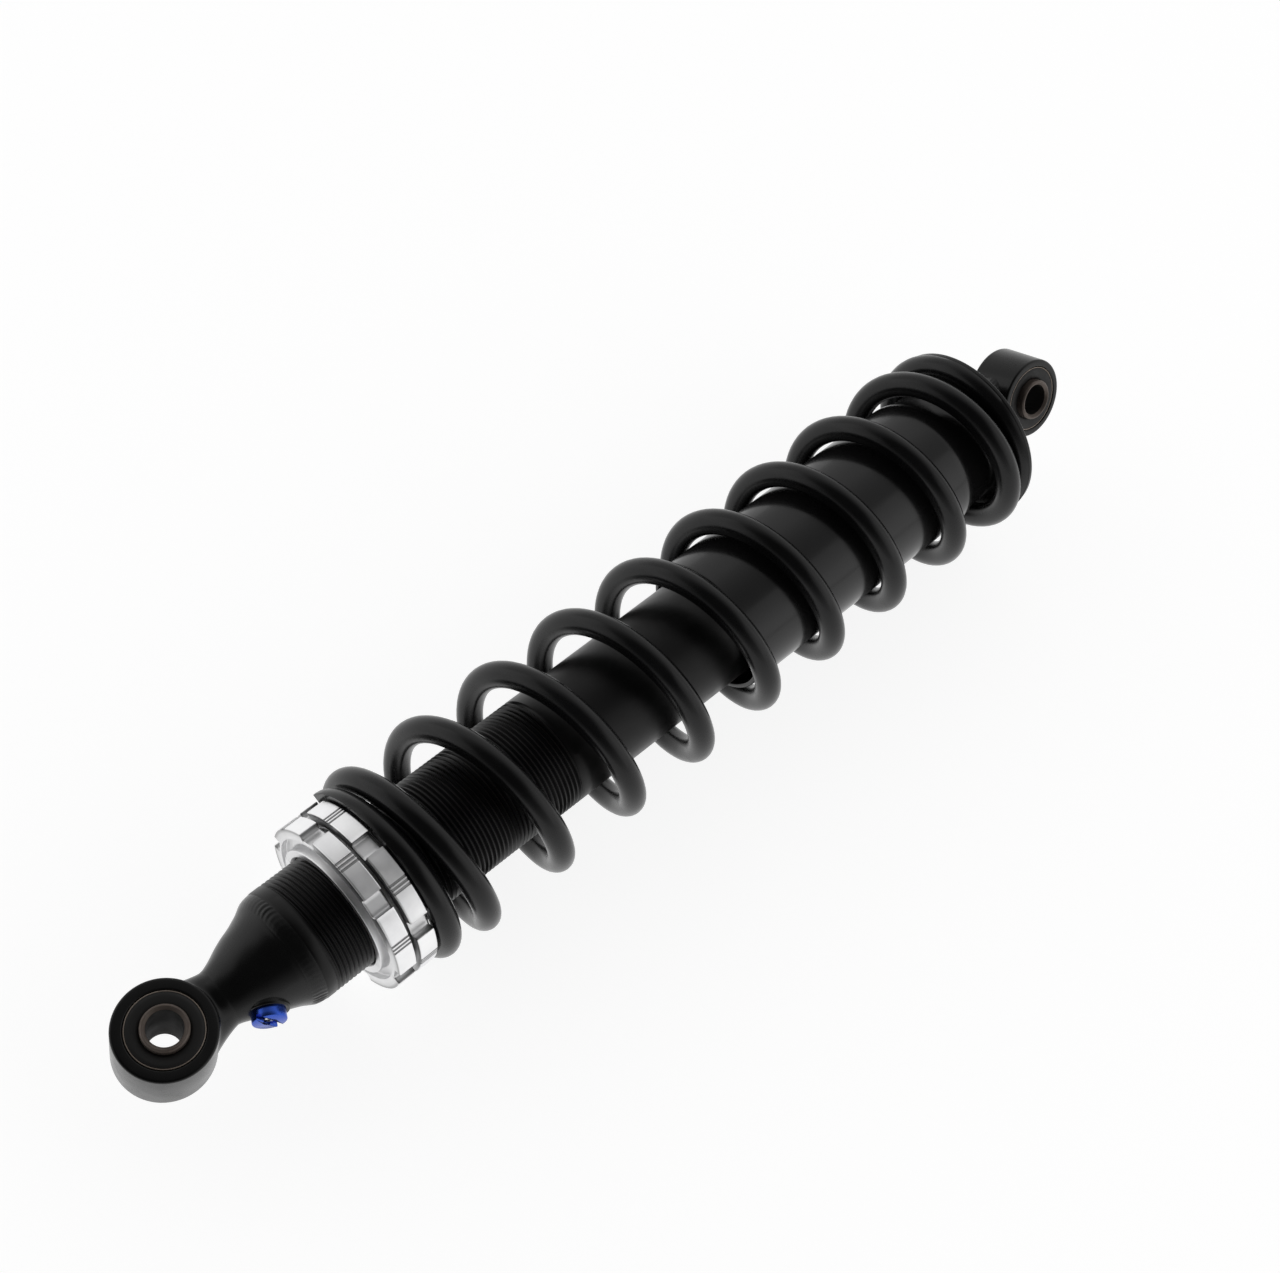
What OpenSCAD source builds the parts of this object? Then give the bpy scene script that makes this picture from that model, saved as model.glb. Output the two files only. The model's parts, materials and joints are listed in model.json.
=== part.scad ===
// Coil-over rear shock, lying along X. The lower eye bore is at the origin with its axis on Z.
// Distances along X are called places. Angles about X start at +Z and run toward -Y.

/* [Eyes] */
// distance between the two eye centres with the shock fully out
eye_to_eye = 350; // [346:1:372]
// turn of the upper eye about the shock's axis, from the lower one
upper_eye_turn = 55; // [0:1:90]
// outer diameter of the lower eye ring
lower_ring_d = 28.8; // [27.5:0.1:30]
// width of the lower eye ring along its bore
lower_ring_w = 20; // [18:0.5:22]
// outer diameter of the upper eye ring
upper_ring_d = 26.6; // [26:0.1:28]
// width of the upper eye ring along its bore
upper_ring_w = 16; // [15:0.5:18]
// bolt hole through both sleeves
bolt_d = 10.2; // [8.2:0.1:10.4]
// outer diameter of both steel sleeves
sleeve_d = 13.4; // [13:0.1:14]
// length of the lower sleeve
lower_sleeve_len = 23.6; // [22:0.1:28]
// length of the upper sleeve
upper_sleeve_len = 19.8; // [18.2:0.1:24]
// outer diameter of the bush shells, pressed into the eye rings
shell_d = 21.6; // [20.5:0.1:22]
// wall of the bush shells
shell_wall = 1; // [0.8:0.1:1.2]

/* [Damper] */
// outer diameter of the damper tube and of its thread
tube_d = 36; // [35.6:0.1:36.4]
// bore of the damper tube
bore_d = 30; // [29.6:0.1:30.4]
// pitch of the thread on the damper tube
thread_pitch = 1.5; // [1.25:0.25:2]
// depth of the thread grooves
thread_depth = 0.9; // [0.6:0.1:1]
// place where the thread starts
thread_start = 44.5; // [44:0.5:46]
// place where the thread ends
thread_end = 136.8; // [120:0.1:150]
// place of the tube's upper end
tube_end = 210; // [208:0.5:212]
// diameter of the piston rod
rod_d = 12; // [11.8:0.1:12.2]
// place of the floating piston's lower face
float_start = 64; // [60:0.5:68]

/* [Collars] */
// diameter over the collar rims
collar_d = 54.8; // [54:0.1:56]
// length of one collar
collar_len = 7.7; // [7:0.1:8]
// place of the spring seat on the preload collar
seat_place = 72.9; // [72:0.1:80]
// width of the spanner notches
notch_w = 5.9; // [5:0.1:7]
// depth of the spanner notches
notch_depth = 2.5; // [1.5:0.1:2.8]
// angle of the first notch of the lock collar
lock_turn = 25.2; // [0:0.1:60]
// angle of the first notch of the preload collar
preload_turn = -6.1; // [-60:0.1:0]

/* [Spring] */
// wire diameter of the spring
wire_d = 8; // [7.6:0.1:8]
// mean radius of the open coils
open_r = 27.45; // [27.25:0.05:28]
// mean radius of the closed end coils
end_r = 25.6; // [25.5:0.1:26]
// turns of the wire, both closed ends included
spring_turns = 10.5; // [10.4:0.1:10.7]
// angle of the wire's lower tip
tip_turn = -74; // [-90:1:-60]

/* [Cover and stop] */
// gap between the guide tube and the open coils
guide_gap = 0.95; // [0.6:0.05:1.2]
// wall of the guide tube
guide_wall = 1.5; // [1.3:0.1:1.8]
// place of the guide tube's lower end
guide_start = 204.4; // [200:0.2:208]
// diameter of the spring retainer
retainer_d = 58.6; // [58:0.1:60]
// thickness of the spring retainer's rim
retainer_t = 2; // [2:0.1:3]
// length of the bump stop
bump_len = 24; // [20:1:24]

/* [Charge port] */
// place where the charge port's own axis meets the shock's axis
port_place = 32.4; // [32:0.1:33]
// lean of the charge port toward the lower eye
port_tilt = 30; // [26:1:32]
// angle of the charge port
port_turn = 83.9; // [70:1:100]
// diameter of the charge port plug
plug_d = 9.7; // [9:0.1:10]
// distance of the plug's outer face from the shock's axis, along the port
plug_out = 16.2; // [15.8:0.1:17]

/* [Fits] */
// radial clearance of the collars on the thread
thread_fit = 0.05; // [0.03:0.01:0.09]
// radial clearance of each piston in the bore
piston_fit = 0.05; // [0.03:0.01:0.09]
// radial clearance of the rod in its bush, seal and wiper
rod_fit = 0.03; // [0.02:0.01:0.06]
// radial clearance of the bump stop on the rod
bump_fit = 0.05; // [0.03:0.01:0.09]
// radial clearance of the sleeves in their rubbers
sleeve_fit = 0.03; // [0.02:0.01:0.06]

/* [Hidden] */
$fn = 96;
edge = 0.4;
ring_edge = 0.7;
sleeve_edge = 0.5;
bore_edge = 0.8;
shell_inset = 0.4;
rubber_inset = 1.6;
tube_r = tube_d / 2;
bore_r = bore_d / 2;
rod_r = rod_d / 2;
lower_shell_r = shell_d / 2;
rubber_r = lower_shell_r - shell_wall;
sleeve_r = sleeve_d / 2;
rubber_bore_r = sleeve_r + sleeve_fit;
bolt_r = bolt_d / 2;
upper_ring_r = upper_ring_d / 2;
wire_r = wire_d / 2;

// end cap and weld
cap_weld_start = 37.3;
tube_start = 40.6;
cap_end = 43;
neck_start = 7;
neck_end = 17;
neck_r = 8.6;
cap_r = tube_r - 1.4;
cap_land_r = tube_r - 2.1;
bead_r = tube_r - 0.3;
bead_len = tube_start - cap_weld_start;
cone_len = cap_weld_start - neck_end;
cone_rise = cap_r - neck_r;
port_boss = 1.3;
port_boss_drop = 2.8;
port_boss_start = 2;
port_floor = 6.7;
port_hole_r = 1;
plug_hole_r = 1.7;
plug_hole_start = 10;
pellet_len = 2;
plug_slot = 1.6;
plug_turn = -55;
screw_slot = 0.6;
screw_drop = 0.6;

// gas side
float_len = 10;
float_end = float_start + float_len;
float_r = bore_r - piston_fit;
float_ring_start = float_start + 2;
float_ring_w = 2.4;
float_band_start = float_start + 5.4;
float_band_w = 3.2;
float_groove = 1.6;

// clip and seal head in the tube, then piston and shims on the stepped end of the rod
clip_t = 1.4;
clip_depth = 1;
clip_in = 1.7;
clip_gap = 6;
clip_inset = 2;
clip_end = tube_end - clip_inset;
clip_start = clip_end - clip_t;
head_len = 17.6;
head_start = clip_start - head_len;
bumper_len = 6;
rod_step = head_start - bumper_len;
stud_r = 4;
shim_t = 0.5;
shim_count = 4;
shim_stack = shim_t * shim_count;
shim_r = 12;
piston_len = 12;
piston_end = rod_step - shim_stack;
piston_start = piston_end - piston_len;
nut_len = 7;
nut_flats = 13;
nut_start = piston_start - shim_stack - nut_len;
rod_tip = nut_start - 0.6;
piston_r = bore_r - 0.6;
band_start = piston_start + 2.5;
band_w = 7;
band_r = bore_r - piston_fit;
band_groove = 1.1;
port_circle = 9.2;
port_r = 1.6;

// steps inside the seal head
head_bore_r = rod_r + 0.6;
bush_start = head_start + 1;
bush_len = 8;
bush_r = rod_r + 1.2;
seal_start = bush_start + bush_len;
seal_len = 3.6;
seal_r = rod_r + 2.5;
wiper_start = seal_start + seal_len;
wiper_r = rod_r + 3.5;
oring_start = head_start + 5;
oring_w = 2.6;
oring_depth = 1.2;
rod_hole_r = rod_r + rod_fit;

// upper end, with the guide tube clear of the coils
boss_len = 12.55;
boss_over = 5.15;
boss_start = eye_to_eye - upper_ring_r - boss_len;
boss_end = eye_to_eye - upper_ring_r + boss_over;
boss_r = 9.5;
boss_cut = 5 * upper_ring_r;
rod_grip = 11.7;
rod_end = boss_start + rod_grip;
eye_weld_low = 3.65;
eye_weld_high = 4.15;
eye_weld_rise = 1.9;
retainer_place = boss_start - retainer_t;
lock_nut_len = 6;
lock_nut_flats = 19;
lock_nut_start = retainer_place - lock_nut_len;
bump_start = lock_nut_start - bump_len;
spigot_wall = 2;
spigot_len = 3;
neck_gap = 0.8;
neck_wall = 1.6;
guide_r = open_r - wire_r - guide_gap;
guide_neck_r = end_r - wire_r - neck_gap;
spigot_r = guide_neck_r - neck_wall;
guide_neck_len = 15.3;
guide_taper_len = 5;
guide_taper_end = retainer_place - guide_neck_len;
guide_taper_start = guide_taper_end - guide_taper_len;
guide_cap = 1;
bump_r = 14.4;
bumper_r = 10.2;
bumper_edge = 1.2;

// spring, close-wound at both ends
coil_steps = 30;
wire_sides = 12;
low_ramp = 0.3;
high_ramp = 0.66;
width_ramp = 0.66;
ramp_up = 1.03;
ramp_down = spring_turns - 1.47;
widen_at = 0.3;
narrow_at = spring_turns - 0.9;
first_rise = 0.9;
tip_t = 2.6;
tip_gain = 3.5 * wire_d;
last_over = 1.9;
first_centre = seat_place + first_rise;
last_centre = retainer_place + last_over;
open_turns = ramp_down + high_ramp / 2 - ramp_up - low_ramp / 2;
open_gain = (last_centre - first_centre - wire_d * spring_turns) / open_turns;

// collars
collar_r = collar_d / 2;
collar_bore_r = tube_r + thread_fit;
collar_hub_wall = 3;
collar_rim_wall = 0.7;
seat_inset = 1.4;
collar_hub_r = tube_r + collar_hub_wall;
collar_rim_r = collar_r - notch_depth - collar_rim_wall;
collar_seat_r = collar_r - seat_inset;
rim_start = 0.16 * collar_len;
web_start = 0.416 * collar_len;
rim_end = 0.942 * collar_len;
groove_depth = 0.35;
groove_w = 0.6;

// a turned shape from its [radius, place] outline
module turned(outline) {
  rotate([0, 90, 0])
    rotate_extrude()
      polygon(outline);
}

// a plain round bar along the shock's axis
module bar(r, from, to) {
  translate([from, 0, 0])
    rotate([0, 90, 0])
      cylinder(r = r, h = to - from);
}

// a ring about Z with small chamfers, for the eyes and their bushes
module eye_ring(outer_r, inner_r, width, chamfer) {
  half = width / 2;
  rotate_extrude()
    polygon([
      [inner_r, -half],
      [outer_r - chamfer, -half],
      [outer_r, chamfer - half],
      [outer_r, half - chamfer],
      [outer_r - chamfer, half],
      [inner_r, half]
    ]);
}

// a ring with an eight-sided section that fills a groove
module soft_ring(inner_r, outer_r, from, width) {
  cut = 0.28 * (outer_r - inner_r);
  turned([
    [inner_r, from + cut],
    [inner_r + cut, from],
    [outer_r - cut, from],
    [outer_r, from + cut],
    [outer_r, from + width - cut],
    [outer_r - cut, from + width],
    [inner_r + cut, from + width],
    [inner_r, from + width - cut]
  ]);
}

// puts a shape at the upper eye, turned with it
module at_upper_eye() {
  translate([eye_to_eye, 0, 0])
    rotate([upper_eye_turn, 0, 0])
      children();
}

// puts a shape at the charge port, with Z pointing outward
module at_port() {
  translate([port_place, 0, 0])
    rotate([port_turn, 0, 0])
      rotate([0, -port_tilt, 0])
        children();
}

// outline of the cone, as shares of its rise and its length
cone_shape = [
  [0, -0.15],
  [0.025, 0],
  [0.075, 0.133],
  [0.2, 0.266],
  [0.375, 0.419],
  [0.51, 0.557],
  [0.625, 0.695],
  [0.76, 0.818],
  [0.875, 0.902],
  [0.96, 0.956],
  [1, 1]
];

// forged lower eye, neck and end cap in one piece
module end_cap() {
  color("#2b2b2d")
  difference() {
    union() {
      eye_ring(lower_ring_d / 2, lower_shell_r, lower_ring_w, ring_edge);
      turned([
        each [[0, neck_start], [neck_r, neck_start]],
        each [for (p = cone_shape) [neck_r + cone_rise * p[0], neck_end + cone_len * p[1]]],
        [cap_land_r, cap_weld_start],
        [cap_land_r, tube_start],
        [bore_r, tube_start],
        [bore_r, cap_end],
        [0, cap_end]
      ]);
      at_port()
        translate([0, 0, port_boss_start])
          cylinder(r = plug_d / 2 + port_boss, h = plug_out - port_boss_start - port_boss_drop);
    }
    translate([0, 0, -lower_ring_w])
      cylinder(r = lower_shell_r, h = 2 * lower_ring_w);
    at_port()
      translate([0, 0, port_floor])
        cylinder(r = plug_d / 2, h = 2 * plug_out);
    at_port()
      cylinder(r = port_hole_r, h = port_floor + 1);
    bar(port_hole_r, port_place, cap_end + 1);
  }
}

// weld bead that joins the end cap to the tube
module end_cap_weld() {
  color("#303032")
  turned([
    [cap_land_r, cap_weld_start],
    [0.95 * bead_r, cap_weld_start],
    [0.977 * bead_r, cap_weld_start + 0.2 * bead_len],
    [0.994 * bead_r, cap_weld_start + 0.5 * bead_len],
    [bead_r, tube_start],
    [cap_land_r, tube_start]
  ]);
}

// steel damper tube with its outer thread
module damper_tube() {
  thread_turns = floor((thread_end - thread_start) / thread_pitch);
  crest = 0.06 * thread_pitch;
  root = 0.41 * thread_pitch;
  color("#262628")
  difference() {
    turned(concat(
      [[bore_r, tube_start], [tube_r - edge, tube_start], [tube_r, tube_start + edge]],
      [for (i = [0 : thread_turns - 1], p = [
        [tube_r, crest],
        [tube_r - thread_depth, root],
        [tube_r - thread_depth, thread_pitch - root],
        [tube_r, thread_pitch - crest]
      ]) [p[0], thread_start + i * thread_pitch + p[1]]],
      [[tube_r, tube_end - edge], [tube_r - edge, tube_end], [bore_r, tube_end]]
    ));
    turned([
      [bore_r - clip_depth, clip_start],
      [bore_r + clip_depth, clip_start],
      [bore_r + clip_depth, clip_end],
      [bore_r - clip_depth, clip_end]
    ]);
  }
}

// outer steel shell of the lower bush
module lower_bush_shell() {
  color("#6d6c69")
  eye_ring(lower_shell_r, rubber_r, lower_ring_w - shell_inset, edge / 2);
}

// rubber between the lower shell and sleeve
module lower_bush_rubber() {
  color("#1a1a1a")
  eye_ring(rubber_r, rubber_bore_r, lower_ring_w - rubber_inset, edge);
}

// steel sleeve that the lower bolt clamps
module lower_bush_sleeve() {
  color("#8d857c")
  difference() {
    eye_ring(sleeve_r, bolt_r, lower_sleeve_len, sleeve_edge);
    for (side = [-1, 1])
      translate([0, 0, side * (lower_sleeve_len / 2 - bore_edge / 2)])
        cylinder(
          r1 = bolt_r + (side < 0 ? bore_edge : 0),
          r2 = bolt_r + (side < 0 ? 0 : bore_edge),
          h = bore_edge,
          center = true
        );
  }
}

// blue plug screwed into the end cap
module charge_port_plug() {
  color("#4f6fd6")
  at_port()
    difference() {
      union() {
        translate([0, 0, port_floor])
          cylinder(r = plug_d / 2, h = plug_out - port_floor - edge);
        translate([0, 0, plug_out - edge])
          cylinder(r1 = plug_d / 2, r2 = plug_d / 2 - edge, h = edge);
      }
      cylinder(r = 0.7 * port_hole_r, h = plug_hole_start + 1);
      translate([0, 0, plug_hole_start])
        cylinder(r = plug_hole_r, h = plug_out);
      rotate([0, 0, plug_turn])
        translate([-plug_d, -plug_slot / 2, plug_out - 0.8 * plug_slot])
          cube([2 * plug_d, plug_slot, 2 * plug_slot]);
    }
}

// small screw that closes the plug
module charge_port_screw() {
  color("#a5a5a8")
  at_port()
    difference() {
      translate([0, 0, plug_hole_start + pellet_len])
        cylinder(r = plug_hole_r, h = plug_out - plug_hole_start - pellet_len - screw_drop);
      rotate([0, 0, 20])
        translate([-plug_d, -screw_slot / 2, plug_out - screw_drop - 1.4 * screw_slot])
          cube([2 * plug_d, screw_slot, plug_d]);
    }
}

// rubber pellet that the small screw presses on the gas hole
module charge_port_pellet() {
  color("#161616")
  at_port()
    translate([0, 0, plug_hole_start])
      cylinder(r = plug_hole_r, h = pellet_len);
}

// piston between the gas and the oil
module floating_piston() {
  inner = float_r - float_groove;
  ring_end = float_ring_start + float_ring_w;
  band_end = float_band_start + float_band_w;
  color("#b9babd")
  turned([
    [0, float_start + 3],
    [9, float_start + 3],
    [10, float_start],
    [float_r, float_start],
    [float_r, float_ring_start],
    [inner, float_ring_start],
    [inner, ring_end],
    [float_r, ring_end],
    [float_r, float_band_start],
    [inner, float_band_start],
    [inner, band_end],
    [float_r, band_end],
    [float_r, float_end],
    [0, float_end]
  ]);
}

// round seal of the floating piston
module floating_piston_ring() {
  color("#151515")
  soft_ring(float_r - float_groove, float_r, float_ring_start, float_ring_w);
}

// guide band of the floating piston
module floating_piston_band() {
  band_end = float_band_start + float_band_w;
  color("#5a4a33")
  turned([
    [float_r - float_groove, float_band_start],
    [float_r, float_band_start],
    [float_r, band_end],
    [float_r - float_groove, band_end]
  ]);
}

// head that closes the oil side and guides the rod
module seal_head() {
  groove_r = bore_r - oring_depth;
  groove_end = oring_start + oring_w;
  color("#a9aaad")
  turned([
    [head_bore_r, head_start],
    [bore_r, head_start],
    [bore_r, oring_start],
    [groove_r, oring_start],
    [groove_r, groove_end],
    [bore_r, groove_end],
    [bore_r, clip_start],
    [wiper_r, clip_start],
    [wiper_r, wiper_start],
    [seal_r, wiper_start],
    [seal_r, seal_start],
    [bush_r, seal_start],
    [bush_r, bush_start],
    [head_bore_r, bush_start]
  ]);
}

// plain bearing bush of the rod
module rod_bush() {
  color("#8a6a3a")
  turned([
    [rod_hole_r, bush_start],
    [bush_r, bush_start],
    [bush_r, seal_start],
    [rod_hole_r, seal_start]
  ]);
}

// lip seal that holds the oil
module rod_seal() {
  color("#1c1c1c")
  turned([
    [rod_hole_r, seal_start],
    [rod_r + 0.9, seal_start],
    [rod_r + 1.25, seal_start + 1.7],
    [rod_r + 1.6, seal_start],
    [seal_r, seal_start],
    [seal_r, wiper_start],
    [rod_hole_r, wiper_start]
  ]);
}

// wiper that keeps dirt off the rod
module dust_wiper() {
  color("#232323")
  turned([
    [rod_r + 0.6, wiper_start],
    [wiper_r, wiper_start],
    [wiper_r, clip_start - 0.2],
    [rod_r + 1.7, clip_start - 0.2],
    [rod_r + 0.7, clip_start + 2.2],
    [rod_hole_r, clip_start + 2.2],
    [rod_hole_r, clip_start - 1]
  ]);
}

// round seal between the head and the tube
module seal_head_ring() {
  color("#151515")
  soft_ring(bore_r - oring_depth, bore_r, oring_start, oring_w);
}

// open spring ring that holds the head in the tube
module seal_head_clip() {
  color("#77787a")
  difference() {
    turned([
      [bore_r - clip_in, clip_start],
      [bore_r + clip_depth, clip_start],
      [bore_r + clip_depth, clip_end],
      [bore_r - clip_in, clip_end]
    ]);
    translate([clip_start - 1, -clip_gap / 2, bore_r / 2])
      cube([clip_t + 2, clip_gap, 2 * bore_r]);
  }
}

// castellated ring, used for the preload and for the lock
module collar(place, turn) {
  translate([place, 0, 0])
    difference() {
      turned([
        [collar_bore_r + edge, 0],
        [collar_hub_r - edge, 0],
        [collar_hub_r, edge],
        [collar_hub_r, web_start],
        [collar_rim_r, web_start],
        [collar_rim_r, rim_start],
        [collar_r - edge, rim_start],
        [collar_r, rim_start + edge],
        [collar_r, rim_end - edge],
        [collar_r - edge, rim_end],
        [collar_seat_r, rim_end],
        [collar_seat_r, collar_len],
        [collar_bore_r, collar_len],
        [collar_bore_r, edge]
      ]);
      for (i = [0 : 5])
        rotate([turn + 60 * i, 0, 0])
          translate([-1, -notch_w / 2, collar_r - notch_depth])
            cube([collar_len + 2, notch_w, 2 * notch_depth]);
      for (i = [0 : 5], k = [-1 : 1])
        rotate([turn + 30 + 60 * i + 2.6 * k, 0, 0])
          translate([-1, -groove_w / 2, collar_r - groove_depth])
            cube([collar_len + 2, groove_w, 2 * groove_depth]);
    }
}

module lock_collar() {
  color("#d9dadc")
  collar(seat_place - 2 * collar_len, lock_turn);
}

module preload_collar() {
  color("#d9dadc")
  collar(seat_place - collar_len, preload_turn);
}

// smooth step from 0 to 1, its running sum, and the spring's wire path from them
function step01(u) = u <= 0 ? 0 : u >= 1 ? 1 : u * u * (3 - 2 * u);
function step_sum(u) = u <= 0 ? 0 : u >= 1 ? u - 0.5 : u * u * u * (1 - u / 2);
function opened(s) = low_ramp * step_sum((s - ramp_up) / low_ramp)
  - high_ramp * step_sum((s - ramp_down) / high_ramp);
function centre_place(s) = first_centre + wire_d * s + open_gain * opened(s);
function mean_r(s) = end_r + (open_r - end_r) * (
  step01((s - widen_at) / width_ramp) - step01((s - narrow_at) / width_ramp));
function low_tip(s) = min(seat_place + tip_t + tip_gain * s, retainer_place);
function held(t, s) =
  s < 1 ? min(max(t, seat_place), low_tip(s))
  : min(t, retainer_place);

// the spring: a round wire on its helix, with both ends ground flat
module coil_spring() {
  rings = ceil(spring_turns * coil_steps);
  points = [
    for (i = [0 : rings], k = [0 : wire_sides - 1])
      let (
        s = i * spring_turns / rings,
        a = tip_turn + 360 * s,
        b = 360 * (k + 0.5) / wire_sides,
        r = mean_r(s) + wire_r * cos(b),
        t = held(centre_place(s) + wire_r * sin(b), s)
      ) [t, -r * sin(a), r * cos(a)]
  ];
  sides = [
    for (i = [0 : rings - 1], k = [0 : wire_sides - 1], h = [0, 1])
      let (
        n = (k + 1) % wire_sides,
        p = i * wire_sides,
        q = p + wire_sides
      ) h == 0 ? [p + k, q + k, q + n] : [p + k, q + n, p + n]
  ];
  first = [[for (k = [0 : wire_sides - 1]) k]];
  last = [[for (k = [wire_sides - 1 : -1 : 0]) rings * wire_sides + k]];
  color("#242426")
  polyhedron(points = points, faces = concat(sides, first, last));
}

// soft stop that is loose on the rod
module bump_stop() {
  bore = rod_r + bump_fit;
  color("#33312c")
  turned([
    [bore, bump_start],
    [0.66 * bump_r, bump_start],
    [0.8 * bump_r, bump_start + 0.08 * bump_len],
    [0.86 * bump_r, bump_start + 0.2 * bump_len],
    [0.76 * bump_r, bump_start + 0.35 * bump_len],
    [0.94 * bump_r, bump_start + 0.54 * bump_len],
    [0.85 * bump_r, bump_start + 0.7 * bump_len],
    [bump_r, bump_start + 0.85 * bump_len],
    [bump_r, lock_nut_start],
    [bore, lock_nut_start]
  ]);
}

// hard chromed rod with a stepped lower end
module piston_rod() {
  color("#c9cacc")
  turned([
    [0, rod_tip],
    [stud_r - 0.6, rod_tip],
    [stud_r, rod_tip + 0.6],
    [stud_r, rod_step],
    [rod_r, rod_step],
    [rod_r, rod_end],
    [0, rod_end]
  ]);
}

// damping piston with six oil ports
module piston() {
  groove_r = band_r - band_groove;
  band_end = band_start + band_w;
  color("#b4b5b8")
  difference() {
    turned([
      [stud_r, piston_start],
      [piston_r, piston_start],
      [piston_r, band_start],
      [groove_r, band_start],
      [groove_r, band_end],
      [piston_r, band_end],
      [piston_r, piston_end],
      [stud_r, piston_end]
    ]);
    for (i = [0 : 5])
      rotate([60 * i, 0, 0])
        translate([0, 0, port_circle])
          bar(port_r, piston_start - 1, piston_end + 1);
  }
}

// slippery band round the piston
module piston_band() {
  band_end = band_start + band_w;
  color("#4b3b28")
  turned([
    [band_r - band_groove, band_start],
    [band_r, band_start],
    [band_r, band_end],
    [band_r - band_groove, band_end]
  ]);
}

// a stack of thin spring discs, largest against the piston
module shim_stack_at(place, way) {
  radii = [shim_r, 0.91 * shim_r, 0.8 * shim_r, 0.58 * shim_r];
  color("#9b9c9f")
  for (i = [0 : shim_count - 1])
    let (near = place + way * i * shim_t, far = near + way * shim_t)
      turned([
        [stud_r, min(near, far)],
        [radii[i], min(near, far)],
        [radii[i], max(near, far)],
        [stud_r, max(near, far)]
      ]);
}

module compression_shims() {
  shim_stack_at(piston_end, 1);
}

module rebound_shims() {
  shim_stack_at(piston_start, -1);
}

// six-sided nut along the shock's axis
module hex_nut(across_flats, bore, from, length) {
  corner_r = across_flats / 2 / cos(30);
  translate([from, 0, 0])
    rotate([0, 90, 0])
      difference() {
        cylinder(r = corner_r, h = length, $fn = 6);
        translate([0, 0, -1])
          cylinder(r = bore, h = length + 2);
      }
}

// nut that clamps the piston and its shims
module piston_nut() {
  color("#8f9092")
  hex_nut(nut_flats, stud_r, nut_start, nut_len);
}

// soft ring that ends the outward stroke
module top_out_bumper() {
  color("#4a4636")
  turned([
    [rod_r, rod_step],
    [bumper_r - bumper_edge, rod_step],
    [bumper_r, rod_step + bumper_edge],
    [bumper_r, head_start - bumper_edge],
    [bumper_r - bumper_edge, head_start],
    [rod_r, head_start]
  ]);
}

// nut that locks the rod in the upper eye's boss
module rod_lock_nut() {
  color("#7d7e80")
  hex_nut(lock_nut_flats, rod_r, lock_nut_start, lock_nut_len);
}

// round plate under the spring's upper end, with a spigot for the guide tube
module spring_retainer() {
  color("#29292b")
  union() {
    turned([
      [rod_r, retainer_place],
      [retainer_d / 2 - edge, retainer_place],
      [retainer_d / 2, retainer_place + edge],
      [retainer_d / 2, boss_start - edge],
      [retainer_d / 2 - edge, boss_start],
      [rod_r, boss_start]
    ]);
    turned([
      [spigot_r - spigot_wall, retainer_place - spigot_len],
      [spigot_r, retainer_place - spigot_len],
      [spigot_r, retainer_place + edge],
      [spigot_r - spigot_wall, retainer_place + edge]
    ]);
  }
}

// sleeve over the rod that keeps the spring straight
module guide_tube() {
  inner_r = guide_r - guide_wall;
  color("#2d2d2f")
  turned([
    [inner_r + edge, guide_start],
    [guide_r - edge, guide_start],
    [guide_r, guide_start + edge],
    [guide_r, guide_taper_start],
    [guide_neck_r, guide_taper_end],
    [guide_neck_r, retainer_place],
    [spigot_r, retainer_place],
    [spigot_r, guide_taper_end - guide_cap],
    [inner_r, guide_taper_start - guide_cap],
    [inner_r, guide_start + edge]
  ]);
}

// threaded boss between the rod and the upper eye
module upper_eye_boss() {
  color("#2b2b2d")
  difference() {
    bar(boss_r, boss_start, boss_end);
    bar(rod_r, boss_start - 1, rod_end);
    at_upper_eye()
      cylinder(r = upper_ring_r, h = boss_cut, center = true);
  }
}

// weld bead between the boss and the upper eye
module upper_eye_weld() {
  weld_start = eye_to_eye - upper_ring_r - eye_weld_low;
  weld_end = eye_to_eye - upper_ring_r + eye_weld_high;
  color("#303032")
  difference() {
    turned([
      [boss_r, weld_start],
      [boss_r + 0.63 * eye_weld_rise, weld_start + 0.36 * eye_weld_low],
      [boss_r + eye_weld_rise, weld_start + eye_weld_low],
      [boss_r + eye_weld_rise, weld_end],
      [boss_r, weld_end]
    ]);
    at_upper_eye()
      cylinder(r = upper_ring_r, h = boss_cut, center = true);
  }
}

// ring of the upper eye
module upper_eye() {
  color("#2b2b2d")
  at_upper_eye()
    eye_ring(upper_ring_r, lower_shell_r, upper_ring_w, ring_edge);
}

// outer steel shell of the upper bush
module upper_bush_shell() {
  color("#6d6c69")
  at_upper_eye()
    eye_ring(lower_shell_r, rubber_r, upper_ring_w - shell_inset, edge / 2);
}

// rubber between the upper shell and sleeve
module upper_bush_rubber() {
  color("#1a1a1a")
  at_upper_eye()
    eye_ring(rubber_r, rubber_bore_r, upper_ring_w - rubber_inset, edge);
}

// steel sleeve that the upper bolt clamps
module upper_bush_sleeve() {
  color("#8d857c")
  at_upper_eye()
    difference() {
      eye_ring(sleeve_r, bolt_r, upper_sleeve_len, sleeve_edge);
      for (side = [-1, 1])
        translate([0, 0, side * (upper_sleeve_len / 2 - bore_edge / 2)])
          cylinder(
            r1 = bolt_r + (side < 0 ? bore_edge : 0),
            r2 = bolt_r + (side < 0 ? 0 : bore_edge),
            h = bore_edge,
            center = true
          );
    }
}

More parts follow.
